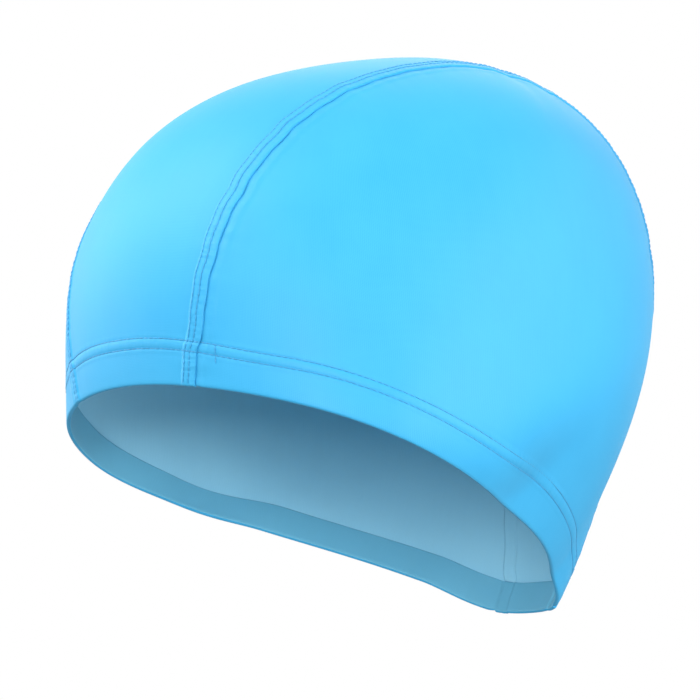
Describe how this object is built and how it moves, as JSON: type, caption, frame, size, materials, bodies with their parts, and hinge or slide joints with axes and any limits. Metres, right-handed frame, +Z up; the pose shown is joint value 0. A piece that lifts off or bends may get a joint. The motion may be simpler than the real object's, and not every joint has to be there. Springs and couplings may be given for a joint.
{
  "type": "swim cap",
  "caption": "Close-fitting three-panel cloth swim cap in its worn form: crown strip, side panels, lapped topstitched seams and a turned-in hem.",
  "frame": {"origin": "inside of the crown, where the cap sits on the top of the head", "axes": "+Z up, -Y towards the forehead, +X towards the wearer's left ear"},
  "size_m": [0.17, 0.1942, 0.1795],
  "materials": {
    "shell_cloth": "smooth coated stretch knit, bright cyan blue, soft sheen",
    "seam_cloth": "the same stretch knit, lapped under the crown strip"
  },
  "bodies": {
    "root": {"crown_panel": "shell_cloth", "left_panel": "shell_cloth", "right_panel": "shell_cloth", "left_seam_allowance": "seam_cloth", "right_seam_allowance": "seam_cloth"}
  },
  "joints": []
}
